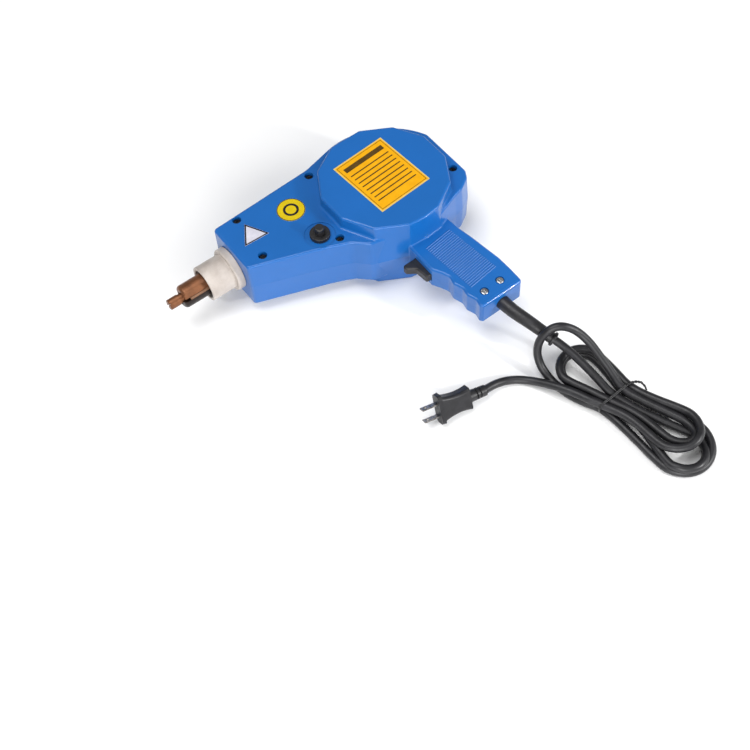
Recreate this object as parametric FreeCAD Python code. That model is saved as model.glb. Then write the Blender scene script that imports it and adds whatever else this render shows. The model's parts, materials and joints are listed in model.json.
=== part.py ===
"""Handheld spot welder gun, lying on its side, with its mains cord in a tied hank.

Units are millimetres. X runs along the barrel with the nose towards -X, the handle points to -Y and
+Z is up. The origin is the centre of the flat face that the drum rests on.
"""
import FreeCAD
import Part
import math
import os

V = FreeCAD.Vector

# ---- driving dimensions ----
THICKNESS = 89.1            # whole case, between the two drum faces
MID = THICKNESS / 2         # height of the parting plane and of every centreline
BARREL_TOP = 75.3           # top of the barrel level; its underside mirrors it
HANDLE_TOP = 58.3
WALL = 3.0
SEAM = 0.05                 # each half stops this far short of the parting plane
DRUM_RADIUS = 68.0          # vertices of the twelve-sided drum face
EDGE_ROUND = 2.4
DRUM_FOOT_R = 2.5           # inside rounding where the drum stands on the barrel level
HANDLE_FOOT_R = 2.0         # the same where it stands on the handle
RUN_GAP = 0.05              # radial gap of a running fit
PLAY = 0.3                  # gap between parts that slide past each other

NOSE_X = -167.0
AXIS_Y = 31.5               # barrel centreline
COLLAR_FLANGE_R = 22.9
COLLAR_R = 18.8
COLLAR_BORE_R = 15.5
COLLAR_FRONT_X = -202.0
JAW_R = 11.8
UPPER_JAW_X = -227.3
LOWER_JAW_X = -229.3
JAW_GAP = 2.6
JAW_SPLIT_DEG = -24.6       # tilt of the split between the jaws about the barrel axis
JAW_TAIL_X = -134.0
ROD_R = 5.0
ROD_TIP_R = 5.6             # free end, outside the jaws
ROD_TIP_X = -242.2
SLEEVE_R = 6.1

CASE_SCREWS = [(-142.0, 56.0), (-146.5, 3.4), (-52.6, 57.9), (-75.1, -26.4), (68.4, -26.3)]
BOSS_R = 6.6
COUNTERBORE_R = 4.6
SCREW_SEAT = 5.5           # depth of a case screw's seat under the barrel top
HANDLE_SCREWS = [(2.6, -156.3), (22.9, -155.7)]
HANDLE_SEAT = 2.6
HANDLE_BOSS_R = 4.4
SCREW_R = 1.9

BUTTON_XY = (-88.3, -11.5)
BUTTON_R = 5.0
BUTTON_TOP = 88.0
NECK_R = 6.6
NUT_R = 10.3
NUT_TOP = 79.2
DISH_R = 16.0
DISH_DEPTH = 0.8

TRIGGER_Y = (-103.4, -77.0)
TRIGGER_Z = (39.7, 49.4)
TRIGGER_GAP = 0.5
LIP_X = (-14.2, -11.0)

CORE_A = 30.0               # centre limb width; the lamination's proportions follow from it
CORE_STACK = 50.0

BOOT_TOP = V(14.3, -170.0, MID)
BOOT_END = V(30.4, -230.8, 33.0)
CORD_R = 4.2

# ---- outlines: corner x, y, rounding radius, then how far the corner splays out at the parting plane ----
BARREL = [(NOSE_X, 60.7, 4.0, 0.0, 1.0), (NOSE_X, -0.5, 4.0, 0.0, -1.0), (-93.0, -28.3, 60.0, -0.5, -1.3),
          (-70.0, -38.8, 20.0, -0.5, -1.5), (-56.0, -52.5, 10.0, -0.8, -2.5), (19.0, -66.4, 12.0, 1.0, -2.0),
          (46.8, -56.4, 18.0, 0.8, -1.2), (58.0, -53.6, 10.0, 0.8, -1.2), (72.0, -45.0, 8.0, 1.2, -0.8),
          (77.0, -36.0, 6.0, 1.2, -0.4), (77.0, 27.0, 10.0, 1.2, 0.4)]
BACK_FACETS = [(34.0, 79.5), (62.5, 78.0), (91.0, 76.5)]     # direction and reach of the rounded rear
for degrees, reach in BACK_FACETS:
    corner_reach = reach / math.cos(math.radians(14.2))
    turn = math.radians(degrees)
    BARREL.append((corner_reach * math.cos(turn), corner_reach * math.sin(turn), reach - 3, math.cos(turn),
                   math.sin(turn)))
BARREL.append((-50.0, 66.8, 60.0, 0.0, 1.0))

# the drum's near corners splay far out and hide the ledge there
DRUM_SPLAY = {195: (-1.0, 0.0), 225: (-3.9, -8.4), 255: (-1.4, -3.8), 285: (2.4, -3.8), 315: (0.5, -0.5)}
DRUM = []
for degrees in range(-75, 285, 30):
    turn = math.radians(degrees)
    splay = DRUM_SPLAY.get(degrees % 360, (0.9 * math.cos(turn), 0.9 * math.sin(turn)))
    DRUM.append((DRUM_RADIUS * math.cos(turn), DRUM_RADIUS * math.sin(turn), 5.0) + splay)
DRUM.append((0.0, -68.0, 60.0, 0.0, -2.6))      # the near side bulges slightly

HANDLE = [(-21.0, -62.0, 1.0), (-21.6, -103.5, 4.0), (-16.8, -112.5, 8.0), (-13.0, -121.7, 6.0),
          (-15.2, -130.2, 5.0), (-11.8, -140.6, 6.0), (-13.4, -149.0, 5.0), (-10.2, -159.0, 6.0),
          (-12.0, -166.8, 1.8), (-9.5, -170.0, 1.8), (39.9, -170.0, 4.0), (40.6, -150.7, 20.0),
          (40.4, -133.0, 40.0), (38.2, -116.0, 60.0), (35.9, -96.6, 60.0), (33.2, -80.8, 60.0), (31.7, -62.0, 1.0)]
HANDLE = [corner + (0.0, 0.0) for corner in HANDLE]

RIB_COUNT = 26
RIB_PITCH = 2.56
RIB_WIDTH = 0.9
RIB_HEIGHT = 0.6
RIB_TILT = 7.0
RIB_START = (6.9, -78.6)
RIB_STEP = (0.09, -1.0)     # direction from rib to rib
RIB_LENGTHS = (33.8, 35.4)  # first and last

# ---- cord route: out of the boot to the hank, the turn that rises over the boot, and hank to plug ----
LEAD = [BOOT_END, V(34.0, -240.0, 29.5), V(36.5, -254.0, 26.5), V(38.2, -270.0, 23.0), V(39.6, -284.0, 19.0),
        V(40.5, -296.0, 15.0)]
ARCH = [V(10, -258, 5), V(9.7, -245, 7), V(9.5, -235, 13), V(11, -227, 24), V(15, -224, 37), V(22, -226, 50),
        V(31, -229.5, 55), V(40, -235.5, 53), V(48, -243.5, 46), V(52.5, -256, 38), V(53.3, -272, 29.5),
        V(54, -288, 21)]
TAIL = [V(14.5, -279, 12), V(7.7, -262.8, 9.5), V(2.1, -250.5, 6.5),
        V(-5.7, -238.9, 4.6), V(-16, -228.4, 4.6), V(-27.5, -222.5, 5.5), V(-41, -220.5, 8.4),
        V(-49.5, -221.2, 10.2)]

PLUG_FACE = V(-100.7, -212.3, 16.2)
PLUG_REAR = TAIL[-1]
PLUG_SIDE = V(-0.26, -0.50, -0.82)     # from the far blade towards the near blade
BLADE_SPACING = 12.7
BLADE = (6.35, 1.5, 16.7)


# ---- helpers ----
def inset_corner(before, corner, after, inset):
    """The corner of the same outline moved inwards, and the rounding that belongs to it."""
    into = (corner - before).normalize()
    out = (after - corner).normalize()
    turn = math.atan2(into.x * out.y - into.y * out.x, into.dot(out))
    left = V(-into.y - out.y, into.x + out.x, 0)
    shift = left.normalize() * (inset / math.cos(turn / 2))
    return corner + shift, turn


def outline(corners, z, splay=0.0, inset=0.0):
    """Closed wire at height z through anticlockwise corners, each rounded by an arc."""
    flat = [V(c[0] + splay * c[3], c[1] + splay * c[4], 0) for c in corners]
    count = len(flat)
    moved = [inset_corner(flat[i - 1], flat[i], flat[(i + 1) % count], inset) for i in range(count)]
    points = [corner for corner, turn in moved]
    arcs = []
    for i, (corner, turn) in enumerate(moved):
        radius = max(corners[i][2] - inset * math.copysign(1, turn), 0.4)
        back = (points[i - 1] - corner).normalize()
        ahead = (points[(i + 1) % count] - corner).normalize()
        tangent = radius * math.tan(abs(turn) / 2)
        inwards = (back + ahead).normalize()
        middle = corner + inwards * (radius / math.cos(turn / 2) - radius)
        arcs.append((corner + back * tangent, middle, corner + ahead * tangent))
    lift = V(0, 0, z)
    edges = []
    for i, (start, middle, end) in enumerate(arcs):
        previous = arcs[i - 1][2]
        edges.append(Part.LineSegment(previous + lift, start + lift).toShape())
        edges.append(Part.Arc(start + lift, middle + lift, end + lift).toShape())
    return Part.Wire(edges)


def block(corners, low, high, splay_low=0.0, splay_high=0.0, inset=0.0):
    """Solid between two heights, ruled between the outline at each."""
    wires = [outline(corners, low, splay_low, inset), outline(corners, high, splay_high, inset)]
    return Part.makeLoft(wires, True, True)


def round_top(solid, z, radius):
    """Round every edge that lies wholly at height z."""
    edges = [e for e in solid.Edges if abs(e.BoundBox.ZMin - z) < 1e-4 and abs(e.BoundBox.ZMax - z) < 1e-4]
    return solid.makeFillet(radius, edges)


def box(x, y, z):
    """Box between pairs of limits."""
    return Part.makeBox(x[1] - x[0], y[1] - y[0], z[1] - z[0], V(x[0], y[0], z[0]))


def rod(x, y, radius, low, high):
    """Upright cylinder."""
    return Part.makeCylinder(radius, high - low, V(x, y, low))


def barrel_rod(radius, start, end):
    """Cylinder along the barrel axis, between two x values."""
    return Part.makeCylinder(radius, end - start, V(start, AXIS_Y, MID), V(1, 0, 0))


def fused(shapes):
    return shapes[0].multiFuse(shapes[1:]).removeSplitter()


def mirrored(shape):
    """The same shape on the other side of the parting plane."""
    return shape.mirror(V(0, 0, MID), V(0, 0, 1))


def path_wire(points):
    """Straight runs joined by tangent arcs, each arc as large as its two runs allow."""
    edges = []
    radii = []
    here = points[0]
    for before, corner, after in zip(points, points[1:], points[2:]):
        back = before - corner
        ahead = after - corner
        shorter = min(back.Length, ahead.Length)
        tangent = 0.45 * shorter
        turn = math.pi - back.getAngle(ahead)
        radius = tangent / math.tan(turn / 2)
        radii.append(radius)
        back.normalize()
        ahead.normalize()
        start = corner + back * tangent
        end = corner + ahead * tangent
        middle = corner + (back + ahead).normalize() * (radius / math.cos(turn / 2) - radius)
        edges.append(Part.LineSegment(here, start).toShape())
        edges.append(Part.Arc(start, middle, end).toShape())
        here = end
    edges.append(Part.LineSegment(here, points[-1]).toShape())
    return Part.Wire(edges), radii


def tube(points, radius, label=None):
    """Round cord along the points."""
    wire, radii = path_wire(points)
    section = Part.Wire(Part.makeCircle(radius, points[0], points[1] - points[0]))
    solid = wire.makePipeShell([section], True, False)
    if label:
        expected = math.pi * radius ** 2 * wire.Length
        print(label, "length %.0f" % wire.Length, "smallest radius %.1f" % min(radii),
              "volume ratio %.3f" % (solid.Volume / expected))
    return solid


def save(name, shape):
    """Write one node; a list becomes a group of separate solids."""
    if isinstance(shape, list):
        shape = Part.makeCompound(shape)
    if not shape.isValid():
        print("NOT VALID", name)
    shape.exportStep("parts/%s.step" % name)
    print("%-22s solids %d volume %.0f" % (name, len(shape.Solids), shape.Volume))


# ---- case ----
def foot_edges(solid, z, reach, y):
    """Edges at height z where the drum's wall meets a lower level, by distance from the drum's axis and by y."""
    edges = []
    for edge in solid.Edges:
        middle = edge.CenterOfMass
        level = abs(edge.BoundBox.ZMin - z) < 1e-3 and abs(edge.BoundBox.ZMax - z) < 1e-3
        if level and reach[0] < math.hypot(middle.x, middle.y) < reach[1] and y[0] < middle.y < y[1]:
            edges.append(edge)
    return edges


def outer_half():
    """Upper half of the case, solid, with its edges rounded."""
    barrel = round_top(block(BARREL, MID, BARREL_TOP, 1.0, 0.0), BARREL_TOP, EDGE_ROUND)
    drum = round_top(block(DRUM, MID, THICKNESS, 1.0, 0.0), THICKNESS, EDGE_ROUND)
    handle = round_top(block(HANDLE, MID, HANDLE_TOP), HANDLE_TOP, EDGE_ROUND)
    body = fused([barrel, drum])
    body = body.makeFillet(DRUM_FOOT_R, foot_edges(body, BARREL_TOP, (60.0, 71.5), (-60.0, 70.0)))
    body = fused([body, handle])
    return body.makeFillet(HANDLE_FOOT_R, foot_edges(body, HANDLE_TOP, (67.0, 71.5), (-75.0, -67.8)))


def half_cavity():
    """Space inside the upper half."""
    barrel = block(BARREL, MID, BARREL_TOP - WALL, 1.0, 0.0, WALL)
    drum = block(DRUM, MID, THICKNESS - WALL, 1.0, 0.0, WALL)
    handle = block(HANDLE, MID, HANDLE_TOP - WALL, inset=WALL)
    throat = box((-15.0, 27.0), (-75.0, -58.0), (MID, HANDLE_TOP - WALL))
    return fused([barrel, drum, handle, throat])


def bosses():
    """Screw bosses of one half, from the parting plane to the skin."""
    posts = [rod(x, y, BOSS_R, MID, BARREL_TOP - 1) for x, y in CASE_SCREWS]
    posts += [rod(x, y, HANDLE_BOSS_R, MID, HANDLE_TOP - 1) for x, y in HANDLE_SCREWS]
    return posts


def ribs():
    """Fine raised grip lines on the handle."""
    lines = []
    for i in range(RIB_COUNT):
        share = i / (RIB_COUNT - 1)
        length = RIB_LENGTHS[0] + share * (RIB_LENGTHS[1] - RIB_LENGTHS[0])
        line = Part.makeBox(length, RIB_WIDTH, RIB_HEIGHT + 0.5, V(-length / 2, -RIB_WIDTH / 2, 0))
        line = line.makeChamfer(0.3, [e for e in line.Edges if e.BoundBox.ZMin > RIB_HEIGHT + 0.4])
        line.rotate(V(0, 0, 0), V(0, 0, 1), RIB_TILT)
        line.translate(V(RIB_START[0] + i * RIB_PITCH * RIB_STEP[0], RIB_START[1] + i * RIB_PITCH * RIB_STEP[1],
                         HANDLE_TOP - 0.5))
        lines.append(line)
    return lines


def shared_openings():
    """What is cut from both halves."""
    nose_hole = barrel_rod(COLLAR_R + 0.2, NOSE_X - 2, NOSE_X + WALL + 0.5)
    trigger_slot = box((-30.0, -13.0), (TRIGGER_Y[0] - TRIGGER_GAP, TRIGGER_Y[1] + TRIGGER_GAP),
                       (TRIGGER_Z[0] - TRIGGER_GAP, TRIGGER_Z[1] + TRIGGER_GAP))
    cord_hole = Part.makeCylinder(6.7, 10, BOOT_TOP - V(0, 2, 0), V(0, 1, 0))
    return [nose_hole, trigger_slot, cord_hole]


def half_shell():
    """One moulded half, before the features that only one side has."""
    outside = outer_half()
    shell = outside.cut(half_cavity())
    posts = [post.common(outside) for post in bosses()]
    shell = fused([shell] + posts + ribs())
    shell = shell.cut(box((-300, 300), (-300, 300), (MID - 1, MID + SEAM)))
    return shell.cut(Part.makeCompound(shared_openings()))


def case_top(shell):
    """Screw side: deep seats for the screws, and the dish and hole of the reset button."""
    cuts = []
    for x, y in CASE_SCREWS:
        cuts.append(rod(x, y, COUNTERBORE_R, BARREL_TOP - SCREW_SEAT, BARREL_TOP + 1))
        cuts.append(rod(x, y, SCREW_R + 0.2, MID - 1, BARREL_TOP))
    for x, y in HANDLE_SCREWS:
        cuts.append(rod(x, y, 4.6, HANDLE_TOP - HANDLE_SEAT, HANDLE_TOP + 1))
        cuts.append(rod(x, y, SCREW_R + 0.2, MID - 1, HANDLE_TOP))
    x, y = BUTTON_XY
    cuts.append(rod(x, y, NECK_R + 0.1, MID, BARREL_TOP + 1))
    cuts.append(rod(x, y, DISH_R, BARREL_TOP - DISH_DEPTH, BARREL_TOP + 1))
    return shell.cut(Part.makeCompound(cuts))


def case_bottom(shell):
    """Plain side: blind pilot holes for the screws."""
    half = mirrored(shell)
    pilots = [rod(x, y, SCREW_R + 0.1, THICKNESS - BARREL_TOP + 6, MID + 1) for x, y in CASE_SCREWS]
    pilots += [rod(x, y, SCREW_R + 0.1, THICKNESS - HANDLE_TOP + 4, MID + 1) for x, y in HANDLE_SCREWS]
    return half.cut(Part.makeCompound(pilots))


def cross_screw(x, y, seat, head_r, head_h, length):
    """Pan head screw with a cross recess, head down on its seat."""
    head = rod(x, y, head_r, seat, seat + head_h)
    head = head.makeFillet(head_h * 0.55, [e for e in head.Edges if e.BoundBox.ZMin > seat + head_h - 0.01])
    shank = rod(x, y, SCREW_R, seat - length, seat)
    slot = box((x - head_r * 0.55, x + head_r * 0.55), (y - 0.5, y + 0.5), (seat + head_h - 1.2, seat + head_h + 1))
    cross = slot.copy()
    cross.rotate(V(x, y, 0), V(0, 0, 1), 90)
    return fused([head, shank]).cut(Part.makeCompound([slot, cross]))


def case_screws():
    seat = BARREL_TOP - SCREW_SEAT
    return [cross_screw(x, y, seat, 3.9, 2.4, 42.0) for x, y in CASE_SCREWS]


def handle_screws():
    return [cross_screw(x, y, HANDLE_TOP - HANDLE_SEAT, 4.0, 2.6, 18.0) for x, y in HANDLE_SCREWS]


# ---- labels ----
LABEL_THICK = 0.2


def rating_label():
    plate = box((-31.7, 31.7), (-37.75, 37.75), (THICKNESS, THICKNESS + LABEL_THICK))
    plate = plate.makeFillet(0.5, [e for e in plate.Edges if e.BoundBox.ZLength > LABEL_THICK / 2])
    plate.rotate(V(0, 0, 0), V(0, 0, 1), 4.1)
    plate.translate(V(-0.2, 3.6, 0))
    return plate


def round_label():
    return rod(-92.4, 32.8, 14.4, BARREL_TOP, BARREL_TOP + LABEL_THICK)


def triangle_label():
    centre = V(-139.6, 30.6, BARREL_TOP)
    points = []
    for degrees in (88, 208, 328):
        turn = math.radians(degrees)
        points.append(centre + V(16.0 * math.cos(turn), 16.0 * math.sin(turn), 0))
    face = Part.Face(Part.makePolygon(points + points[:1]))
    return face.extrude(V(0, 0, LABEL_THICK))


# ---- nose ----
def nose_collar():
    """Insulating collar: flange outside the nose, spigot through it, retaining flange inside."""
    outer = barrel_rod(COLLAR_R, COLLAR_FRONT_X, NOSE_X + WALL + 4)
    flange = barrel_rod(COLLAR_FLANGE_R, NOSE_X - 8, NOSE_X - 0.4)
    flange = flange.makeFillet(1.2, [e for e in flange.Edges if e.BoundBox.XMax < NOSE_X - 7.9])
    keeper = barrel_rod(COLLAR_R + 3, NOSE_X + WALL + 0.3, NOSE_X + WALL + 4)
    body = fused([outer, flange, keeper])
    body = body.cut(barrel_rod(JAW_R + 0.1, COLLAR_FRONT_X - 1, NOSE_X + WALL + 5))
    body = body.cut(barrel_rod(COLLAR_BORE_R, COLLAR_FRONT_X - 1, COLLAR_FRONT_X + 12))
    rim = [e for e in body.Edges if e.BoundBox.XMax < COLLAR_FRONT_X + 0.01]
    return body.makeFillet(1.0, rim)


def jaw_side(up):
    """Everything on one side of the split between the jaws, clear of the insulating fins."""
    half = Part.makeBox(200, 60, 30, V(-260, AXIS_Y - 30, MID + JAW_GAP / 2))
    if not up:
        half = Part.makeBox(200, 60, 30, V(-260, AXIS_Y - 30, MID - 30 - JAW_GAP / 2))
    half.rotate(V(0, AXIS_Y, MID), V(1, 0, 0), JAW_SPLIT_DEG)
    return half


def upper_jaw():
    """Rounded nose, a long flat towards the far side, and a level flat for its busbar."""
    bar = barrel_rod(JAW_R, UPPER_JAW_X, JAW_TAIL_X)
    bar = bar.makeFillet(3.5, [e for e in bar.Edges if e.BoundBox.XMax < UPPER_JAW_X + 0.01])
    jaw = bar.cut(barrel_rod(SLEEVE_R, -240, JAW_TAIL_X + 1)).common(jaw_side(True))
    shave = Part.makeBox(45, 30, 6, V(-240, AXIS_Y - 15, MID + 10.3))
    shave.rotate(V(0, AXIS_Y, MID), V(1, 0, 0), 55)
    level = box((-160, JAW_TAIL_X + 1), (AXIS_Y - 20, AXIS_Y + 20), (MID + JAW_FLAT, MID + 20))
    bolts = [rod(x, BOLT_Y, 2.6, MID + 1, MID + 15) for x in BUSBAR_BOLT_X]
    return jaw.cut(Part.makeCompound([shave, level] + bolts))


def lower_jaw():
    bar = barrel_rod(JAW_R, LOWER_JAW_X, JAW_TAIL_X)
    bar = bar.makeFillet(4.0, [e for e in bar.Edges if e.BoundBox.XMax < LOWER_JAW_X + 0.01])
    jaw = bar.cut(barrel_rod(SLEEVE_R, -240, JAW_TAIL_X + 1)).common(jaw_side(False))
    level = box((-160, JAW_TAIL_X + 1), (AXIS_Y - 20, AXIS_Y + 20), (MID - 20, MID - JAW_FLAT))
    bolts = [rod(x, BOLT_Y, 2.6, MID - 15, MID - 1) for x in BUSBAR_BOLT_X]
    return jaw.cut(Part.makeCompound([level] + bolts))


def centre_electrode():
    """Rod between the jaws, thicker where it stands free of them, with a shallow notch across its tip."""
    bar = fused([barrel_rod(ROD_R, ROD_TIP_X, -140.0), barrel_rod(ROD_TIP_R, ROD_TIP_X, ROD_TIP_X + 11.2)])
    bar = bar.makeChamfer(0.8, [e for e in bar.Edges if e.BoundBox.XMax < ROD_TIP_X + 0.01])
    notch = Part.makeBox(2.0, 1.4, 14, V(ROD_TIP_X - 1, AXIS_Y - 0.7, MID - 7))
    notch.rotate(V(0, AXIS_Y, MID), V(1, 0, 0), 35)
    return bar.cut(notch)


def jaw_insulator():
    """Sleeve around the centre rod with two fins that keep the jaws apart."""
    sleeve = barrel_rod(SLEEVE_R - 0.05, -222.0, -140.0)
    thick = JAW_GAP - 0.2
    fins = Part.makeBox(82.0, 2 * JAW_R - 0.6, thick, V(-222.0, AXIS_Y - JAW_R + 0.3, MID - thick / 2))
    fins.rotate(V(0, AXIS_Y, MID), V(1, 0, 0), JAW_SPLIT_DEG)
    return fused([sleeve, fins]).cut(barrel_rod(ROD_R, -230, -139))


# ---- busbars ----
BUSBAR_Y = (19.0, 35.0)
BUSBAR_BOLT_X = (-139.0, -149.0)
BUSBAR_THICK = 5.0
BOLT_Y = 30.0
JAW_FLAT = 8.0              # height of the busbar's seat above the barrel axis
STRAP_TOP = MID + 39.0
STRAP_THICK = 4.0


def busbar_upper():
    """Copper bar from the secondary strap's tab down to the flat on the jaw."""
    low = MID + JAW_FLAT
    high = STRAP_TOP - STRAP_THICK - BUSBAR_THICK
    bend_high = -42.5
    bend_low = bend_high - (high - low)
    end = -154.0
    lead = BUSBAR_THICK * math.tan(math.radians(22.5))
    side = [(-38, high), (-38, high + BUSBAR_THICK), (bend_high, high + BUSBAR_THICK),
            (bend_low, low + BUSBAR_THICK), (end, low + BUSBAR_THICK), (end, low), (bend_low + lead, low),
            (bend_high + lead, high)]
    face = Part.Face(Part.makePolygon([V(x, BUSBAR_Y[0], z) for x, z in side + side[:1]]))
    bar = face.extrude(V(0, BUSBAR_Y[1] - BUSBAR_Y[0], 0))
    return bar.cut(Part.makeCompound([rod(x, BOLT_Y, 2.7, low - 1, low + 6) for x in BUSBAR_BOLT_X]))


def busbar_bolts():
    bolts = []
    for x in BUSBAR_BOLT_X:
        head = Part.Face(Part.makePolygon([V(x + 4.6 * math.cos(math.radians(60 * i)),
                                             BOLT_Y + 4.6 * math.sin(math.radians(60 * i)), MID + 13.0)
                                           for i in range(7)])).extrude(V(0, 0, 3.5))
        bolt = fused([head, rod(x, BOLT_Y, 2.5, MID + 7.2, MID + 13.0)])
        bolts += [bolt, mirrored(bolt)]
    return bolts


# ---- transformer ----
CORE_X = CORE_A * 1.25
CORE_Y = CORE_A * 1.5
CORE_LOW = MID - CORE_STACK / 2
CORE_HIGH = MID + CORE_STACK / 2
WINDOW_X = CORE_A * 0.75
CORE_BOLTS = [(sx * (CORE_X - 6.5), sy * (CORE_Y - 6.5)) for sx in (-1, 1) for sy in (-1, 1)]
PLATE = 2.0


def transformer_core():
    """Stack of laminations: three limbs along X, closed at both ends."""
    core = box((-CORE_X, CORE_X), (-CORE_Y, CORE_Y), (CORE_LOW, CORE_HIGH))
    far_window = box((-WINDOW_X, WINDOW_X), (CORE_A / 2, CORE_A), (CORE_LOW - 1, CORE_HIGH + 1))
    near_window = box((-WINDOW_X, WINDOW_X), (-CORE_A, -CORE_A / 2), (CORE_LOW - 1, CORE_HIGH + 1))
    holes = [rod(x, y, 2.2, CORE_LOW - 1, CORE_HIGH + 1) for x, y in CORE_BOLTS]
    return core.cut(Part.makeCompound([far_window, near_window] + holes))


def core_clamps():
    """Steel frames above and below the stack, open over the coil."""
    frame = box((-CORE_X, CORE_X), (-CORE_Y, CORE_Y), (CORE_HIGH, CORE_HIGH + PLATE))
    frame = frame.cut(box((-CORE_X - 1, CORE_X + 1), (-CORE_A - 1, CORE_A + 5), (CORE_HIGH - 1, CORE_HIGH + 5)))
    holes = [rod(x, y, 2.2, CORE_HIGH - 1, CORE_HIGH + 5) for x, y in CORE_BOLTS]
    upper = frame.cut(Part.makeCompound(holes))
    return upper.Solids + mirrored(upper).Solids


def core_bolts():
    bolts = []
    for x, y in CORE_BOLTS:
        shank = rod(x, y, 2.0, CORE_LOW - PLATE - 4, CORE_HIGH + PLATE)
        head = rod(x, y, 3.6, CORE_HIGH + PLATE, CORE_HIGH + PLATE + 3)
        nut = rod(x, y, 3.6, CORE_LOW - PLATE - 3, CORE_LOW - PLATE)
        bolts.append(fused([shank, head, nut]))
    return bolts


def core_pads():
    """Rubber posts that hold the core between the two drum faces."""
    pads = []
    for x, y in CORE_BOLTS:
        pad = rod(x, y, 6.4, CORE_HIGH + PLATE, THICKNESS - WALL)
        pad = pad.cut(rod(x, y, 4.3, CORE_HIGH, CORE_HIGH + PLATE + 6))
        pads += [pad, mirrored(pad)]
    return pads


def ring(inner_y, inner_z, thick, half_x):
    """Rectangular ring around the centre limb."""
    def slab(y, z):
        return box((-half_x, half_x), (-y, y), (MID - z, MID + z))
    return slab(inner_y + thick, inner_z + thick).cut(slab(inner_y, inner_z))


def coil_bobbin():
    tube_part = ring(15.2, 25.2, 1.4, 22.0)
    end = box((20.6, 22.0), (-29.6, 29.6), (MID - 34.8, MID + 34.8))
    ends = [end, end.mirror(V(0, 0, 0), V(1, 0, 0))]
    limb = box((-30, 30), (-15.2, 15.2), (MID - 25.2, MID + 25.2))
    return fused([tube_part] + ends).cut(limb)


def primary_winding():
    coil = ring(16.6, 26.6, 8.0, 20.4)
    return coil.makeFillet(3.0, [e for e in coil.Edges if e.BoundBox.XLength > 30 and
                                 abs(e.BoundBox.YMax) > 20 and e.BoundBox.YLength < 0.01])


def secondary_strap():
    """One heavy copper turn, open on its far side, with a tab to each busbar."""
    turn = box((-18, 18), (-28.8, 28.8), (MID - 39.0, STRAP_TOP))
    turn = turn.cut(box((-19, 19), (-24.8, 40), (MID - 35.0, MID + 35.0)))
    tab = box((-46, -17), (19, 28.8), (STRAP_TOP - STRAP_THICK, STRAP_TOP))
    return fused([turn, tab, mirrored(tab)])


# ---- reset breaker ----
BREAKER_TOP = BARREL_TOP - WALL


def breaker_body():
    """Overload breaker hung from the case skin, its threaded neck through the hole."""
    x, y = BUTTON_XY
    body = box((x - 12, x + 12), (y - 7.6, y + 9.4), (38.0, BREAKER_TOP))
    neck = rod(x, y, NECK_R, BREAKER_TOP - 1, NUT_TOP - 0.6)
    blades = [box((x + d - 3, x + d + 3), (y - 0.4, y + 0.4), (28.0, 39.0)) for d in (-8, 8)]
    chamber = rod(x, y, 6.8, 52.0, 69.95)
    bore = rod(x, y, BUTTON_R + RUN_GAP, 60.0, NUT_TOP + 1)
    return fused([body, neck] + blades).cut(Part.makeCompound([chamber, bore]))


def breaker_nut():
    """Knurled ring nut."""
    x, y = BUTTON_XY
    low = BARREL_TOP - DISH_DEPTH
    nut = rod(x, y, NUT_R, low, NUT_TOP)
    nut = nut.makeFillet(0.9, [e for e in nut.Edges if e.BoundBox.ZMin > NUT_TOP - 0.01])
    cuts = [rod(x, y, NECK_R, low - 1, NUT_TOP + 1)]
    notches = 24
    for i in range(notches):
        turn = 2 * math.pi * i / notches
        cuts.append(rod(x + (NUT_R + 0.25) * math.cos(turn), y + (NUT_R + 0.25) * math.sin(turn), 0.7,
                        low - 1, NUT_TOP + 1))
    return nut.cut(Part.makeCompound(cuts))


def reset_button():
    x, y = BUTTON_XY
    stem = rod(x, y, BUTTON_R, 66.0, BUTTON_TOP)
    stem = stem.makeFillet(1.4, [e for e in stem.Edges if e.BoundBox.ZMin > BUTTON_TOP - 0.01])
    return fused([stem, rod(x, y, 6.3, 66.9, 69.9)])


def button_spring():
    """Compression spring under the button."""
    x, y = BUTTON_XY
    low = 52.5
    wire_r = 0.45
    helix = Part.makeHelix(2.6, 13.0, 4.0)
    section = Part.Wire(Part.makeCircle(wire_r, V(4.0, 0, 0), V(0, 1, 0)))
    spring = Part.Wire(helix.Edges).makePipeShell([section], True, True)
    spring.translate(V(x, y, low))
    return spring


# ---- trigger and switch ----
SWITCH_X = (-1.5, 23.0)
SWITCH_Y = (-111.0, -77.0)
PLUNGER_R = 2.6


def trigger():
    """Paddle with a finger hook at its top, and a retaining lip inside the handle."""
    front = [(-26.9, TRIGGER_Y[0], 2.5, 0, 0), (LIP_X[0], TRIGGER_Y[0], 0.5, 0, 0),
             (LIP_X[0], TRIGGER_Y[1], 0.5, 0, 0), (-36.9, TRIGGER_Y[1], 2.5, 0, 0), (-36.9, -82.5, 3.0, 0, 0),
             (-28.4, -88.5, 3.0, 0, 0)]
    paddle = block(front, TRIGGER_Z[0], TRIGGER_Z[1])
    edges = [e for e in paddle.Edges if e.BoundBox.ZLength < 0.01 and e.BoundBox.XMax < -20]
    paddle = paddle.makeFillet(1.6, edges)
    lip = box(LIP_X, (TRIGGER_Y[0] - 2, TRIGGER_Y[1] + 2), (TRIGGER_Z[0] - 2, TRIGGER_Z[1] + 2))
    return fused([paddle, lip])


def switch_plunger():
    """Pin that the trigger pushes into the switch."""
    return Part.makeCylinder(PLUNGER_R, SWITCH_X[0] + 2.5 - LIP_X[1], V(LIP_X[1], -94.0, MID), V(1, 0, 0))


def switch_body():
    body = box(SWITCH_X, SWITCH_Y, (34.4, 54.7))
    body = body.makeFillet(1.0, [e for e in body.Edges if e.BoundBox.ZLength > 5])
    return body.cut(Part.makeCylinder(PLUNGER_R + RUN_GAP, 10, V(SWITCH_X[0] - 1, -94.0, MID), V(1, 0, 0)))


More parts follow.
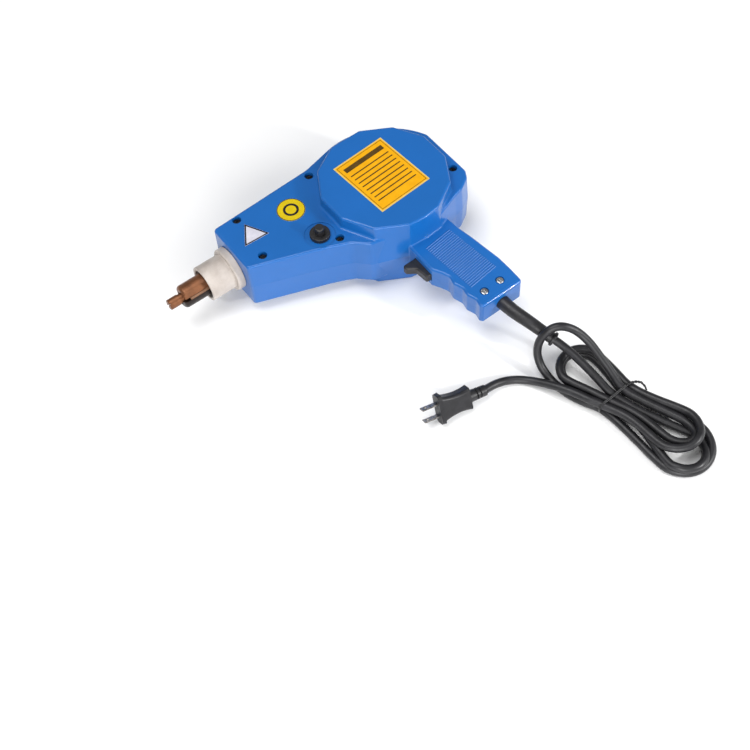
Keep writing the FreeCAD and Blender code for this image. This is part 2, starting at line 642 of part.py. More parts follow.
def switch_terminals():
    """Four screw terminals: two on the supply end and two on the load end."""
    terminals = []
    for x in (5.0, 16.0):
        for y in (SWITCH_Y[0] - 4.0, SWITCH_Y[1]):
            terminals.append(box((x - 3, x + 3), (y, y + 4.0), (41.0, 48.0)))
    return terminals


# ---- cord fittings in the handle ----
def strain_relief_boot():
    """Long tapered boot that droops towards the floor, with a ring at its end."""
    points = [BOOT_TOP, V(15.2, -185.0, 45.0), V(21.0, -205.5, 42.0), BOOT_END]
    wire, radii = path_wire(points)
    along = (points[-1] - points[-2]).normalize()
    first = Part.Wire(Part.makeCircle(7.3, BOOT_TOP, V(0, -1, 0)))
    last = Part.Wire(Part.makeCircle(5.9, BOOT_END, along))
    body = wire.makePipeShell([first, last], True, False)
    cuff = Part.makeCylinder(7.6, 3.0, BOOT_END - along * 3.4, along)
    cuff = cuff.makeFillet(0.8, cuff.Edges)
    neck = Part.makeCylinder(6.5, WALL + 0.6, BOOT_TOP, V(0, 1, 0))
    keeper = Part.makeCylinder(8.6, 3.5, BOOT_TOP + V(0, WALL + 0.5, 0), V(0, 1, 0))
    return fused([body, cuff, neck, keeper])


CLAMP_Y = (-149.0, -141.0)


def cord_inside():
    """Sheathed end of the cord, from the boot to just past the clamp."""
    start = BOOT_TOP.y + WALL + 4.0
    return Part.makeCylinder(CORD_R, -136.0 - start, V(BOOT_TOP.x, start, MID), V(0, 1, 0))


def cord_clamp():
    """Two jaws that grip the cord, and rest on the handle's floor."""
    lower = box((4.3, 24.3), CLAMP_Y, (THICKNESS - HANDLE_TOP + WALL, MID - 0.8))
    upper = box((4.3, 24.3), CLAMP_Y, (MID + 0.8, MID + 6.5))
    cord = Part.makeCylinder(CORD_R, 30, V(BOOT_TOP.x, -160, MID), V(0, 1, 0))
    holes = [rod(x, -145.0, 1.6, 30, 60) for x in (7.3, 21.3)]
    cuts = Part.makeCompound([cord] + holes)
    return [lower.cut(cuts), upper.cut(cuts)]


def clamp_screws():
    screws = []
    for x in (7.3, 21.3):
        screws.append(fused([rod(x, -145.0, 1.5, 36, MID + 6.5), rod(x, -145.0, 2.9, MID + 6.5, MID + 8.6)]))
    return screws


WIRE_R = 1.3


def cord_cores():
    """The two cores from the sheath's end to the supply terminals."""
    supply_y = SWITCH_Y[0] - 4.0
    cores = []
    for x, side in ((5.0, -1), (16.0, 1)):
        start = V(BOOT_TOP.x + side * 1.6, -135.9, MID)
        points = [start, start + V(side * 0.6, 6.5, 0.4), V((start.x + x) / 2, -122.5, MID + 0.6), V(x, supply_y, MID)]
        cores.append(tube(points, WIRE_R).cut(Part.makeCompound(switch_terminals() + [cord_inside()])))
    return cores


def primary_leads():
    """One load terminal to the breaker, the breaker to the coil, and the other terminal to the coil."""
    x, y = BUTTON_XY
    live = [V(5, -73, MID), V(2, -62, 47), V(-12, -54.5, 49), V(-28, -50, 46), V(-44, -43, 39), V(-57, -32, 31),
            V(-68, -19, 24), V(-80, -12.5, 19.3), V(-89.5, -11.6, 19), V(-94.6, -11.5, 22.3), V(x - 8, y, 28.5)]
    back = [V(x + 8, y, 28.5), V(x + 9.5, y + 1, 23), V(-71, -8, 19.8), V(-58, -7, 17.5), V(-46, -6, 13.8),
            V(-34, -5, 13), V(-21.9, -5, 14)]
    neutral = [V(16, -73, MID), V(17, -64, 49), V(18, -57, 58), V(17, -50, 69), V(18.5, -42, 76.2),
               V(24.3, -31.8, 77.6), V(29.5, -21, 77.2), V(29.5, -11, 76.4), V(21.9, -6, 75.5)]
    ends = Part.makeCompound(switch_terminals() + [breaker_body(), coil_bobbin()])
    return [tube(points, WIRE_R, "lead").cut(ends) for points in (live, back, neutral)]


# ---- cord ----
RIGHT_LOBE = [(65, -303, 8), (24, -303, 8), (24, -352, 30), (25, -386, 25), (36, -408, 18), (52, -416, 18),
              (80, -412, 22), (92.5, -392, 18), (92.5, -366, 30), (78, -330, 40)]
LEFT_LOBE = [(65, -308, 8), (24, -308, 8), (9, -286, 25), (5.7, -262, 20), (5.7, -246, 8), (20, -236, 14),
             (47, -236, 14), (62, -248, 14), (66.5, -270, 20), (66.5, -292, 15)]
LEFT_HOLE = [(47, -292, 4), (40, -293, 4), (29, -275, 10), (26, -256, 8), (32, -247, 8), (42, -246, 8),
             (50, -254, 8), (50, -276, 10)]


def anticlockwise(corners):
    """Plain x, y, radius corners, turned into the order and form that outline() takes."""
    return [corner + (0.0, 0.0) for corner in reversed(corners)]


def cord_hank():
    """Outer shape of the tied hank: two lobes, and the turn that rises over the boot."""
    right = block(anticlockwise(RIGHT_LOBE), 0.0, 21.5)
    left = block(anticlockwise(LEFT_LOBE), 0.0, 17.2)
    left = left.cut(block(anticlockwise(LEFT_HOLE), -1.0, 18.0))
    arch = tube(ARCH, CORD_R + 0.2)
    return fused([right, left, arch])


def cord_tie(hank):
    """Wire tie around the neck of the hank, with twisted ends."""
    band = box((23.2, 65.8), (-307.2, -305.6), (0.0, 22.3))
    inner = box((24.0, 65.0), (-310, -300), (0.8, 21.5))
    ends = tube([V(62, -306.4, 22), V(66, -300, 22.5), V(72, -297, 22.5), V(78, -299, 21)], 0.9)
    return fused([band.cut(inner), ends]).cut(hank)


def plug_frame():
    """Placement whose Z runs out of the plug's face and whose X runs from the far blade to the near one."""
    out = (PLUG_FACE - PLUG_REAR).normalize()
    across = PLUG_SIDE - out * PLUG_SIDE.dot(out)
    across.normalize()
    return FreeCAD.Placement(PLUG_FACE, FreeCAD.Rotation(across, out.cross(across), out, "ZXY"))


def plug_section(width, thick, z, radius):
    corners = [(sx * width / 2, sy * thick / 2, radius, 0, 0) for sx, sy in ((-1, -1), (1, -1), (1, 1), (-1, 1))]
    return outline(corners, z)


def plug_body():
    """Moulded two-blade plug: flange, waisted grip and stepped strain relief."""
    length = (PLUG_FACE - PLUG_REAR).Length
    flange = Part.makeLoft([plug_section(31, 14, -4.0, 4.0), plug_section(30, 13.4, 0.0, 4.0)], True, True)
    grip = Part.makeLoft([plug_section(23.5, 13.4, -34.0, 3.5), plug_section(20.5, 12.6, -22.0, 3.5),
                          plug_section(26.5, 13.4, -3.9, 3.5)], True, False)
    relief = Part.makeCone(5.5, 6.2, length - 33.5, V(0, 0, -length))
    slots = [box((-8, 8), (-8, 8), (z, z + 1.8)).cut(rod(0, 0, 4.5, z - 1, z + 3)) for z in (-46.5, -42.5)]
    body = fused([flange, grip, relief]).cut(Part.makeCompound(slots))
    body.Placement = plug_frame()
    return body


def plug_blades():
    """Two flat blades with the usual hole near each tip."""
    blades = []
    for side in (-1, 1):
        x = side * BLADE_SPACING / 2
        blade = box((x - BLADE[1] / 2, x + BLADE[1] / 2), (-BLADE[0] / 2, BLADE[0] / 2), (0.0, BLADE[2]))
        blade = blade.makeChamfer(0.6, [e for e in blade.Edges if e.BoundBox.ZMin > BLADE[2] - 0.01])
        hole = Part.makeCylinder(1.6, 6, V(x - 3, 0, BLADE[2] - 4.5), V(1, 0, 0))
        blade = blade.cut(hole)
        blade.Placement = plug_frame()
        blades.append(blade)
    return blades


# ---- build ----
os.makedirs("parts", exist_ok=True)
shell = half_shell()
save("case_top", case_top(shell))
save("case_bottom", case_bottom(shell))
save("case_screws", case_screws())
save("handle_screws", handle_screws())
save("rating_label", rating_label())
save("round_label", round_label())
save("triangle_label", triangle_label())
save("nose_collar", nose_collar())
save("upper_jaw", upper_jaw())
save("lower_jaw", lower_jaw())
save("centre_electrode", centre_electrode())
save("jaw_insulator", jaw_insulator())
save("busbar_upper", busbar_upper())
save("busbar_lower", mirrored(busbar_upper()))
save("busbar_bolts", busbar_bolts())
save("transformer_core", transformer_core())
save("core_clamps", core_clamps())
save("core_bolts", core_bolts())
save("core_pads", core_pads())
save("coil_bobbin", coil_bobbin())
save("primary_winding", primary_winding())
save("secondary_strap", secondary_strap())
save("breaker_body", breaker_body())
save("breaker_nut", breaker_nut())
save("reset_button", reset_button())
save("button_spring", button_spring())
save("trigger", trigger())
save("switch_plunger", switch_plunger())
save("switch_body", switch_body())
save("switch_terminals", switch_terminals())
boot = strain_relief_boot()
save("strain_relief_boot", boot)
save("cord_inside", cord_inside())
save("cord_clamp", cord_clamp())
save("clamp_screws", clamp_screws())
save("cord_cores", cord_cores())
save("primary_leads", primary_leads())
hank = cord_hank().cut(boot)
save("cord_hank", hank)
tie = cord_tie(hank)
save("cord_tie", tie)
save("cord_lead", tube(LEAD, CORD_R, "cord_lead").cut(hank).cut(boot))
plug = plug_body()
save("cord_tail", tube(TAIL, CORD_R, "cord_tail").cut(hank).cut(tie).cut(plug))
save("plug_body", plug)
save("plug_blades", plug_blades())
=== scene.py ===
"""Handheld spot welder gun: materials, labels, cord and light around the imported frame.

Lengths are in metres, except where a name or comment says millimetres.
"""
import json
import math

import bmesh
import bpy
from mathutils import Matrix, Vector


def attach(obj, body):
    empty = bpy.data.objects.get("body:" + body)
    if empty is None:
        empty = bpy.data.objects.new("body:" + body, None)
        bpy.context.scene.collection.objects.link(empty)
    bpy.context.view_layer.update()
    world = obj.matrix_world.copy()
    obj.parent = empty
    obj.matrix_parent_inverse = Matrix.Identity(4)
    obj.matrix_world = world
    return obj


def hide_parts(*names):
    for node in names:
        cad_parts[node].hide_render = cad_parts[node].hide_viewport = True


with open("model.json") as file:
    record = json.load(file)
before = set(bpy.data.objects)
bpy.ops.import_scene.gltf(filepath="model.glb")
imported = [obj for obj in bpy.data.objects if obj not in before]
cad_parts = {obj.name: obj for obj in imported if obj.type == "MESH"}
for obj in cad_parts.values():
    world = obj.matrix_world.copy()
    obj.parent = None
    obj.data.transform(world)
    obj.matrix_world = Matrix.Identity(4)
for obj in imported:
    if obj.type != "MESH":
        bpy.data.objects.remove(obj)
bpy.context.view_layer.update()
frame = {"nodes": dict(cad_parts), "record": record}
MM = 0.001

# ---- camera ----
CAMERA_PLACE = Vector((-0.4730, -0.6905, 1.0693))
CAMERA_AIM = Vector((0.3636, 0.4505, -0.8153))
CAMERA_LENS = 61.09
CAMERA_SHIFT = (-0.0984, -0.116)


def make_camera():
    data = bpy.data.cameras.new("camera")
    data.lens = CAMERA_LENS
    data.shift_x, data.shift_y = CAMERA_SHIFT
    camera = bpy.data.objects.new("camera", data)
    camera.location = CAMERA_PLACE
    camera.rotation_mode = "QUATERNION"
    camera.rotation_quaternion = CAMERA_AIM.to_track_quat("-Z", "Y")
    bpy.context.collection.objects.link(camera)
    bpy.context.scene.camera = camera


make_camera()


# ---- materials ----
FILM_ROUGHNESS = 0.38       # printed label films


class Nodes:
    """Short way to wire a procedural material around one Principled shader."""

    def __init__(self, name):
        self.material = bpy.data.materials.new(name)
        self.material.use_nodes = True
        self.tree = self.material.node_tree
        self.shader = self.tree.nodes["Principled BSDF"]
        self.place = self.add("ShaderNodeTexCoord").outputs["Object"]

    def add(self, kind, **settings):
        node = self.tree.nodes.new(kind)
        for key, value in settings.items():
            setattr(node, key, value)
        return node

    def link(self, source, target):
        self.tree.links.new(source, target)

    def noise(self, scale, detail=3.0, roughness=0.55, stretch=None):
        """Noise over object space; stretch scales its axes one by one."""
        node = self.add("ShaderNodeTexNoise")
        node.inputs["Scale"].default_value = scale
        node.inputs["Detail"].default_value = detail
        node.inputs["Roughness"].default_value = roughness
        source = self.place
        if stretch:
            mapping = self.add("ShaderNodeMapping")
            mapping.inputs["Scale"].default_value = stretch
            self.link(source, mapping.inputs["Vector"])
            source = mapping.outputs["Vector"]
        self.link(source, node.inputs["Vector"])
        return node.outputs["Fac"]

    def ramp(self, source, *stops):
        """Colour ramp: stops are (position, grey or (r, g, b))."""
        node = self.add("ShaderNodeValToRGB")
        points = node.color_ramp.elements
        while len(points) < len(stops):
            points.new(0.5)
        for point, (position, colour) in zip(points, stops):
            point.position = position
            rgb = colour if isinstance(colour, tuple) else (colour, colour, colour)
            point.color = (*rgb, 1)
        self.link(source, node.inputs["Fac"])
        return node.outputs["Color"]

    def mix(self, factor, first, second):
        """Blends a colour output towards a fixed colour by a factor output."""
        node = self.add("ShaderNodeMix", data_type="RGBA")
        self.link(factor, node.inputs["Factor"])
        self.link(first, node.inputs["A"])
        node.inputs["B"].default_value = (*second, 1)
        return node.outputs["Result"]

    def bump(self, source, strength, distance, after=None):
        node = self.add("ShaderNodeBump")
        node.inputs["Strength"].default_value = strength
        node.inputs["Distance"].default_value = distance
        self.link(source, node.inputs["Height"])
        if after:
            self.link(after, node.inputs["Normal"])
        return node.outputs["Normal"]

    def finish(self, colour, roughness, normal=None, **sockets):
        """Wires the shader; roughness is an output or a number."""
        self.link(colour, self.shader.inputs["Base Color"])
        if hasattr(roughness, "is_output"):
            self.link(roughness, self.shader.inputs["Roughness"])
        else:
            self.shader.inputs["Roughness"].default_value = roughness
        if normal:
            self.link(normal, self.shader.inputs["Normal"])
        for name, value in sockets.items():
            socket = name.replace("_", " ").title().replace("Ior", "IOR")
            self.shader.inputs[socket].default_value = value
        return self.material


def blue_plastic():
    """Glossy moulded plastic: faint flow marks, fine grain and a few rubbed patches."""
    n = Nodes("blue_plastic")
    flow = n.noise(9, 4, 0.6)
    colour = n.ramp(flow, (0.30, (0.005, 0.102, 0.355)), (0.55, (0.006, 0.110, 0.39)),
                    (0.8, (0.009, 0.121, 0.42)))
    rubbed = n.ramp(n.noise(60, 6, 0.7), (0.62, 0.30), (0.80, 0.42))
    grain = n.bump(n.noise(1400, 2), 0.10, 0.0001)
    swell = n.bump(n.noise(35, 2), 0.12, 0.0008, grain)
    return n.finish(colour, rubbed, swell, coat_weight=0.35, coat_roughness=0.06,
                    specular_ior_level=0.3)


def black_plastic():
    """Satin black moulding with a fine grain."""
    n = Nodes("black_plastic")
    colour = n.ramp(n.noise(120, 4), (0.35, (0.005, 0.005, 0.006)), (0.75, (0.016, 0.015, 0.017)))
    rough = n.ramp(n.noise(300, 4), (0.3, 0.34), (0.8, 0.5))
    return n.finish(colour, rough, n.bump(n.noise(2200, 2), 0.18, 0.0001))


def cord_rubber():
    """Soft black sheath with handling dust."""
    n = Nodes("cord_rubber")
    colour = n.ramp(n.noise(90, 5), (0.35, (0.006, 0.006, 0.0075)), (0.8, (0.018, 0.0175, 0.021)))
    rough = n.ramp(n.noise(240, 4), (0.3, 0.36), (0.8, 0.52))
    return n.finish(colour, rough, n.bump(n.noise(1500, 3), 0.15, 0.0002))


def cream_ceramic():
    """Cream insulating collar: matt, blotchy, with brown grime in its pores."""
    n = Nodes("cream_ceramic")
    blotch = n.ramp(n.noise(55, 5, 0.6), (0.3, (0.38, 0.33, 0.295)), (0.6, (0.49, 0.44, 0.40)),
                    (0.85, (0.55, 0.50, 0.465)))
    pores = n.ramp(n.noise(420, 4, 0.7), (0.60, 0.0), (0.78, 0.5))
    colour = n.mix(pores, blotch, (0.26, 0.19, 0.13))
    rough = n.ramp(n.noise(160), (0.3, 0.42), (0.8, 0.62))
    return n.finish(colour, rough, n.bump(n.noise(700, 4), 0.25, 0.0002),
                    coat_weight=0.15, coat_roughness=0.3)


def copper(name, clean, dull, burnt, burnt_at):
    """Copper with dull oxide patches, burnt stains and scratches along the barrel."""
    n = Nodes(name)
    patches = n.ramp(n.noise(85, 6, 0.65), (0.35, dull), (0.65, clean))
    stains = n.ramp(n.noise(38, 5, 0.6), (burnt_at, 0.0), (burnt_at + 0.18, 0.9))
    colour = n.mix(stains, patches, burnt)
    rough = n.ramp(n.noise(260, 5), (0.3, 0.30), (0.8, 0.52))
    lines = n.noise(900, 3, 0.6, (0.06, 1.0, 1.0))
    return n.finish(colour, rough, n.bump(lines, 0.22, 0.0002), metallic=0.6)


def metal(name, dark, light, rough_low, rough_high, scale=300, stretch=None):
    """Plated or bare steel with fine streaks."""
    n = Nodes(name)
    streaks = n.noise(scale, 4, 0.6, stretch)
    colour = n.ramp(streaks, (0.3, dark), (0.8, light))
    rough = n.ramp(streaks, (0.3, rough_low), (0.8, rough_high))
    return n.finish(colour, rough, n.bump(streaks, 0.12, 0.0001), metallic=1.0)


def film(name, dark, light):
    """Printed label film: slight ink mottle under a satin surface."""
    n = Nodes(name)
    colour = n.ramp(n.noise(150, 5, 0.6), (0.35, dark), (0.7, light))
    return n.finish(colour, FILM_ROUGHNESS, n.bump(n.noise(60, 2), 0.05, 0.0003),
                    specular_ior_level=0.2)


def speckled(name, dark, light, scale, rough, bump=0.2):
    """Plain moulded, taped or board-like material with a visible grain."""
    n = Nodes(name)
    grain = n.noise(scale, 5, 0.6)
    colour = n.ramp(grain, (0.3, dark), (0.75, light))
    return n.finish(colour, rough, n.bump(grain, bump, 0.0002))


def laminations():
    """Edges of stacked sheets, about a millimetre apart in height."""
    n = Nodes("laminations")
    wave = n.add("ShaderNodeTexWave", bands_direction="Z")
    wave.inputs["Scale"].default_value = 320
    wave.inputs["Distortion"].default_value = 0.4
    n.link(n.place, wave.inputs["Vector"])
    sheets = wave.outputs["Fac"]
    colour = n.ramp(sheets, (0.2, 0.05), (0.7, 0.28))
    return n.finish(colour, 0.45, n.bump(sheets, 0.5, 0.0002), metallic=0.9)


def floor_paper():
    """White paper under the object."""
    n = Nodes("floor_paper")
    return n.finish(n.ramp(n.noise(3, 2), (0.3, 0.93), (0.8, 0.95)), 0.7, specular_ior_level=0.2)


COPPERS = {                 # clean, dull and burnt colour, and the noise level where burning starts
    "copper_bright": ((0.24, 0.095, 0.040), (0.14, 0.055, 0.024), (0.04, 0.02, 0.012), 0.60),
    "copper_dark": ((0.030, 0.017, 0.013), (0.018, 0.012, 0.010), (0.009, 0.007, 0.006), 0.5),
    "copper_clean": ((0.80, 0.40, 0.24), (0.62, 0.29, 0.17), (0.2, 0.1, 0.06), 0.72),
}
FILMS = {                   # dark and light ends of the mottle
    "label_yellow": ((0.68, 0.32, 0.002), (0.76, 0.37, 0.004)),
    "label_round": ((0.54, 0.39, 0.003), (0.62, 0.46, 0.006)),
    "label_white": ((0.50, 0.49, 0.56), (0.60, 0.59, 0.67)),
    "ink_dark": ((0.008, 0.007, 0.010), (0.022, 0.018, 0.020)),
    "ink_olive": ((0.060, 0.032, 0.006), (0.10, 0.055, 0.010)),
    "ink_cream": ((0.56, 0.43, 0.13), (0.66, 0.52, 0.18)),
}
METALS = {                  # dark and light colour, low and high roughness, noise scale and stretch
    "steel": ((0.42, 0.42, 0.43), (0.72, 0.72, 0.73), 0.22, 0.38),
    "black_steel": ((0.03, 0.03, 0.032), (0.07, 0.07, 0.072), 0.3, 0.5),
    "blade_metal": ((0.16, 0.15, 0.14), (0.42, 0.40, 0.38), 0.22, 0.40, 400, (1.0, 0.1, 1.0)),
}
SPECKLED = {                # dark and light colour, noise scale, roughness and bump strength
    "bobbin_plastic": ((0.62, 0.58, 0.44), (0.74, 0.70, 0.56), 500, 0.45),
    "winding": ((0.32, 0.10, 0.03), (0.50, 0.20, 0.06), 350, 0.35, 0.5),
    "insulator": ((0.13, 0.06, 0.03), (0.24, 0.12, 0.06), 260, 0.6, 0.5),
    "pad_rubber": ((0.02, 0.02, 0.02), (0.05, 0.05, 0.05), 500, 0.7),
    "wire_insulation": ((0.42, 0.02, 0.015), (0.55, 0.05, 0.03), 300, 0.4, 0.1),
}
MATERIALS = {
    "case_plastic": blue_plastic(),
    "black_plastic": black_plastic(),
    "cord_rubber": cord_rubber(),
    "cream_ceramic": cream_ceramic(),
    "lamination": laminations(),
}
for make, looks in ((copper, COPPERS), (film, FILMS), (metal, METALS), (speckled, SPECKLED)):
    MATERIALS.update({name: make(name, *look) for name, look in looks.items()})


def dress_cad_nodes():
    """Every carried-over CAD node takes the procedural material of its slot."""
    for subpart in frame["record"]["subparts"]:
        node = frame["nodes"][subpart["node"]]
        for slot in node.material_slots:
            slot.material = MATERIALS[subpart["material_slot"]]


dress_cad_nodes()

# ---- mesh helpers ----
SMOOTH_ANGLE = math.radians(30)     # faces that meet at less than this shade smoothly


def link_piece(name, build, slots):
    """Turns a bmesh into an object on the case body, with its materials."""
    mesh = bpy.data.meshes.new(name)
    build.to_mesh(mesh)
    build.free()
    piece = bpy.data.objects.new(name, mesh)
    for material in slots:
        mesh.materials.append(MATERIALS[material])
    mesh.shade_smooth()
    mesh.set_sharp_from_angle(angle=SMOOTH_ANGLE)
    bpy.context.collection.objects.link(piece)
    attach(piece, "case")


def prism(mesh, points, low, high, slot=0):
    """Adds an upright prism over plan points to a bmesh."""
    under = [mesh.verts.new((x, y, low)) for x, y in points]
    over = [mesh.verts.new((x, y, high)) for x, y in points]
    faces = [mesh.faces.new(over), mesh.faces.new(under[::-1])]
    for i, vertex in enumerate(under):
        after = (i + 1) % len(under)
        faces.append(mesh.faces.new((vertex, under[after], over[after], over[i])))
    for face in faces:
        face.material_index = slot


def frame_strip(mesh, outer, inner, low, high, slot):
    """Adds the flat band between two outlines of equal point counts."""
    count = len(outer)
    for i in range(count):
        after = (i + 1) % count
        prism(mesh, [outer[i], outer[after], inner[after], inner[i]], low, high, slot)


# ---- plain print on the labels: borders, bands and rings, no text and no symbols ----
INK = 0.00006               # how far print stands above its film, and reaches into it
RATING_FILM_TOP = 0.0893
BARREL_FILM_TOP = 0.0755    # round and triangular labels


def rectangle(x_low, x_high, y_low, y_high):
    return [(x_low, y_low), (x_high, y_low), (x_high, y_high), (x_low, y_high)]


def around(radius, degrees):
    """Points at the given angles, at one distance from the label's centre."""
    return [(radius * math.cos(math.radians(a)), radius * math.sin(math.radians(a)))
            for a in degrees]


def circle(radius):
    return around(radius, [7.5 * i for i in range(48)])


def triangle(radius):
    return around(radius, (90, 210, 330))


class Print:
    """Flat print on one label, drawn in millimetres in the label's own plane."""

    def __init__(self, centre, turn, height):
        x, y = centre
        shift = Matrix.Translation((x * MM, y * MM, 0))
        self.mesh = bmesh.new()
        self.place = shift @ Matrix.Rotation(math.radians(turn), 4, "Z")
        self.low, self.high = height - INK, height + INK

    def moved(self, points):
        return [(self.place @ Vector((x * MM, y * MM, 0))).xy for x, y in points]

    def patch(self, points, ink):
        prism(self.mesh, self.moved(points), self.low, self.high, ink)

    def outline(self, outer, inner, ink):
        frame_strip(self.mesh, self.moved(outer), self.moved(inner), self.low, self.high, ink)

    def border(self, half_x, half_y, width, ink):
        """Rectangular border of a given width, inside its half sizes."""
        inner_x, inner_y = half_x - width, half_y - width
        self.outline(rectangle(-half_x, half_x, -half_y, half_y),
                     rectangle(-inner_x, inner_x, -inner_y, inner_y), ink)


def rating_print():
    """Two borders, one broad band and evenly spaced bars; sizes in millimetres."""
    olive, cream = 1, 2                 # places in the list of inks
    half_width = 25                     # of the band and the bars
    bars, pitch, first_bar, bar_height = 8, 6, 17, 1.4
    p = Print((-0.2, 3.6), 4.1, RATING_FILM_TOP)
    p.border(31.7, 37.7, 1.1, cream)
    p.border(29.3, 35.3, 0.5, olive)
    p.patch(rectangle(-half_width, half_width, 24, 30), olive)
    for i in range(bars):
        low = first_bar - pitch * i
        p.patch(rectangle(-half_width, half_width, low, low + bar_height), olive)
    link_piece("rating_print", p.mesh, ["ink_dark", "ink_olive", "ink_cream"])


def triangle_print():
    """Plain border."""
    p = Print((-139.6, 30.6), -2, BARREL_FILM_TOP)
    p.outline(triangle(15.7), triangle(12.9), 0)
    link_piece("triangle_print", p.mesh, ["ink_dark"])


def round_print():
    """Dark rim and one plain ring."""
    p = Print((-92.4, 32.8), 0, BARREL_FILM_TOP)
    p.outline(circle(14.3), circle(13.6), 0)
    p.outline(circle(8.0), circle(5.5), 0)
    link_piece("round_print", p.mesh, ["ink_dark"])


rating_print()
triangle_print()
round_print()

# ---- cord: routes in millimetres, through the centre of the cord ----
CORD_DIAMETER = 8.4 * MM
TIE_WIRE_R = 0.8 * MM
LEAD = [(30.4, -230.8, 33), (34, -240, 29.5), (36.5, -254, 26.5), (38.2, -270, 23),
        (39.6, -284, 19), (40.5, -296, 15)]
ARCH = [(19.5, -291, 4.4), (13, -275, 4.4), (10, -258, 5), (9.7, -245, 7), (9.5, -235, 13),
        (11, -227, 24), (15, -224, 37), (22, -226, 50), (31, -229.5, 55), (40, -235.5, 53),
        (48, -243.5, 46), (52.5, -256, 38), (53.3, -272, 29.5), (54, -288, 21)]
TAIL = [(19, -292, 14.5), (14.5, -279, 13.4), (7.7, -265, 12.4), (1.6, -252, 9),
        (-5.7, -238.9, 5.2), (-16, -228.4, 4.6), (-27.5, -222.5, 5.5), (-41, -220.5, 8.4),
        (-49.5, -221.2, 10.2)]
NECK_Y = -305               # where the tie gathers every strand
# each lobe: fold centre x, y; reach along and half width across; heading; x at the neck going in
# and coming out; a point on each flank; heights at the neck, first flank, fold, second flank and
# neck again
OUTER_LOW = (54, -386, 23.5, 21.5, -85, 42.5, 37, (50, -330), (43, -335), (12, 4.8, 10.5, 11.5, 5))
OUTER_WIDE = (58, -380, 31.5, 29.5, -84, 54.5, 27.5, (72, -330), (29.5, -335),
              (5, 4.5, 4.5, 4.5, 4.5))
OUTER_SMALL = (61.5, -366, 22.5, 12.9, -72, 52, 34, (61, -331), (46, -334),
               (13.5, 13, 15.5, 13, 13))
OUTER_HIGH = (60, -366, 27, 23, -76, 60.5, 25.5, (67, -328), (37, -333),
              (12, 18, 21.5, 17.5, 13.5))
INNER_LOW = (40.5, -262, 22, 19.5, 88, 37, 54.5, (28, -283), (58, -284), (5, 4.5, 4.5, 4.5, 5))
INNER_HIGH = (39.5, -262, 21.5, 22.5, 88, 34, 60.5, (27, -285), (62, -286), (13, 13, 13, 13, 12))
FOLD_STEPS = 8              # from one side of a fold to the other


def lobe(x, y, along, across, heading, neck_in, neck_out, via_in, via_out, heights):
    """One open turn of the hank: flank, fold and flank, clockwise from above."""
    forward = Vector((math.cos(math.radians(heading)), math.sin(math.radians(heading))))
    left = Vector((-forward.y, forward.x))
    flat = [Vector((neck_in, NECK_Y)), Vector(via_in)]
    for i in range(FOLD_STEPS + 1):
        turn = math.radians(90 - 180 / FOLD_STEPS * i)
        ahead, aside = forward * (along * math.cos(turn)), left * (across * math.sin(turn))
        flat.append(Vector((x, y)) + ahead + aside)
    flat += [Vector(via_out), Vector((neck_out, NECK_Y))]
    spans = len(heights) - 1
    points = []
    for i, place in enumerate(flat):
        position = spans * i / (len(flat) - 1)
        step = min(int(position), spans - 1)
        height = heights[step] + (heights[step + 1] - heights[step]) * (position - step)
        points.append((place.x, place.y, height))
    return points


def curve_piece(name, routes, radius, round_steps, along_steps, material):
    """Round wires or cords along routes in millimetres, as one curve on the case body.

    The resolutions are set before any spline is added, so that the curve's bounds come out right.
    """
    data = bpy.data.curves.new(name, "CURVE")
    data.dimensions = "3D"
    data.bevel_depth = radius
    data.bevel_resolution = round_steps
    data.resolution_u = along_steps
    for route in routes:
        spline = data.splines.new("NURBS")
        spline.points.add(len(route) - 1)
        for point, place in zip(spline.points, route):
            point.co = (*(Vector(place) * MM), 1)
        spline.order_u = 3
        spline.use_endpoint_u = True
    data.materials.append(MATERIALS[material])
    piece = bpy.data.objects.new(name, data)
    bpy.context.collection.objects.link(piece)
    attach(piece, "case")
    return piece


def make_cord():
    """Whole mains cord as one smooth curve, from the boot through the hank to the plug."""
    turns = [lobe(*OUTER_LOW), lobe(*INNER_LOW), lobe(*OUTER_WIDE), ARCH, lobe(*OUTER_SMALL),
             lobe(*INNER_HIGH), lobe(*OUTER_HIGH)]
    route = list(LEAD)
    for turn in turns:
        # where a turn starts at the point the last one ended in, that point is used once
        route += turn[1:] if Vector(turn[0]).xy == Vector(route[-1]).xy else turn
    route += TAIL
    piece = curve_piece("mains_cord", [route], CORD_DIAMETER / 2, 5, 10, "cord_rubber")
    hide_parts("cord_lead", "cord_hank", "cord_tail")
    return piece


TIE_RING = [(30, -306, 0.9), (24, -306.3, 1.2), (21.5, -306.5, 8), (20.5, -306.5, 15),
            (25, -306.3, 18.6), (34, -306, 18), (43, -305.6, 17.4), (52, -305.4, 18.6),
            (60, -305.2, 17.6), (65.5, -305, 12), (63, -305.3, 4), (57, -305.6, 0.9),
            (44, -306, 0.9), (30, -306, 0.9)]
TIE_TAIL = [(57, -305.6, 18.3), (61, -307.5, 20.5), (65, -310.5, 22), (68, -314, 22),
            (68.3, -319, 21), (66.5, -323.5, 20)]
TIE_TURN_GAP = 1.3          # between the tie's two turns around the neck
TWIST_PARTS = 4             # steps along each stretch of the twisted ends
TWIST_STEP = math.radians(75)
TWIST_R = Vector((0.3, 0.7, 0.75))


def twisted_end(phase):
    """One of the two ends that wind around each other along TIE_TAIL."""
    strand = []
    for start, end in zip(TIE_TAIL, TIE_TAIL[1:]):
        for part in range(TWIST_PARTS):
            middle = Vector(start).lerp(Vector(end), part / TWIST_PARTS)
            turn = phase + len(strand) * TWIST_STEP
            across, up = math.cos(turn), math.sin(turn)
            strand.append(middle + Vector((TWIST_R.x * across, TWIST_R.y * across, TWIST_R.z * up)))
    return strand


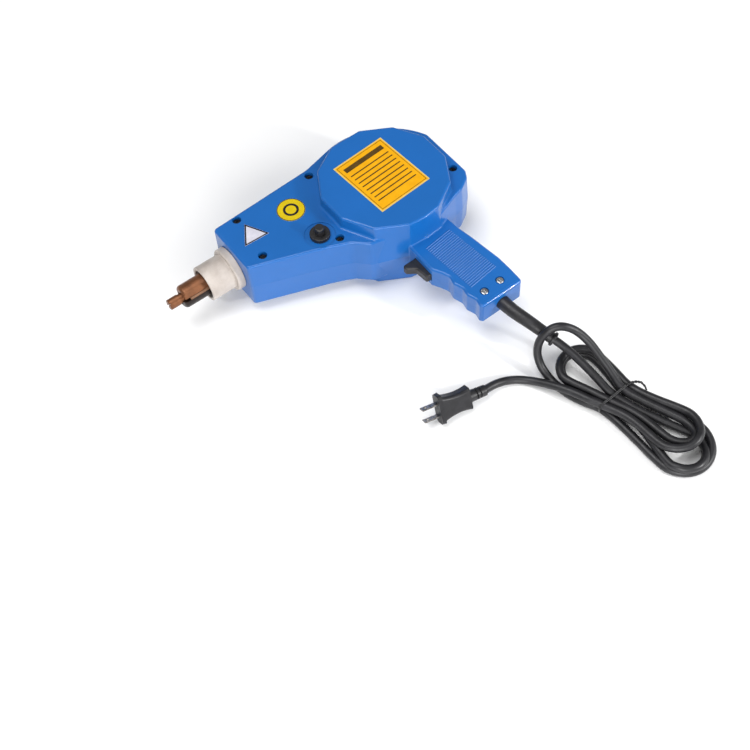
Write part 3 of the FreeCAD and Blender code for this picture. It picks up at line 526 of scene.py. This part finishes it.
def make_tie():
    """Wire tie, twice around the neck of the hank, its two ends twisted together."""
    second_turn = [(x, y - TIE_TURN_GAP, z) for x, y, z in TIE_RING]
    routes = [TIE_RING, second_turn, twisted_end(0), twisted_end(math.pi)]
    piece = curve_piece("cord_tie_wire", routes, TIE_WIRE_R, 3, 12, "black_plastic")
    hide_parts("cord_tie")
    return piece


cord = make_cord()
tie = make_tie()

# ---- stage and light ----
FLOOR_HALF = 6
FLOOR_LOW, FLOOR_HIGH = -0.02, -0.0002      # just under the object, so that nothing touches it
WORLD_STRENGTH = 0.30
LIGHT_AIM = Vector((0, -0.1, 0))
LIGHTS = {                  # place, diameter and power in watts
    "key_softbox": ((-1.3, -1.7, 0.9), 1.5, 36),
    "side_softbox": ((1.5, -1.5, 1.2), 1.2, 18),
    "top_softbox": ((-0.5, 0.2, 2.0), 1.4, 26),
    "edge_lamp": ((0.72, -1.57, 0.85), 0.14, 14),
}


def make_stage():
    mesh = bmesh.new()
    corners = rectangle(-FLOOR_HALF, FLOOR_HALF, -FLOOR_HALF, FLOOR_HALF)
    prism(mesh, corners, FLOOR_LOW, FLOOR_HIGH)
    data = bpy.data.meshes.new("floor")
    mesh.to_mesh(data)
    mesh.free()
    data.materials.append(floor_paper())
    floor = bpy.data.objects.new("floor", data)
    bpy.context.collection.objects.link(floor)


def make_light(name, place, size, power):
    data = bpy.data.lights.new(name, "AREA")
    data.shape = "DISK"
    data.size = size
    data.energy = power
    light = bpy.data.objects.new(name, data)
    light.location = place
    light.rotation_mode = "QUATERNION"
    light.rotation_quaternion = (LIGHT_AIM - Vector(place)).to_track_quat("-Z", "Y")
    bpy.context.collection.objects.link(light)


def make_world():
    world = bpy.data.worlds.new("studio")
    world.use_nodes = True
    background = world.node_tree.nodes["Background"]
    background.inputs["Color"].default_value = (1.0, 1.0, 1.0, 1)
    background.inputs["Strength"].default_value = WORLD_STRENGTH
    bpy.context.scene.world = world


make_stage()
make_world()
for name, settings in LIGHTS.items():
    make_light(name, *settings)
bpy.context.scene.view_settings.view_transform = "Standard"
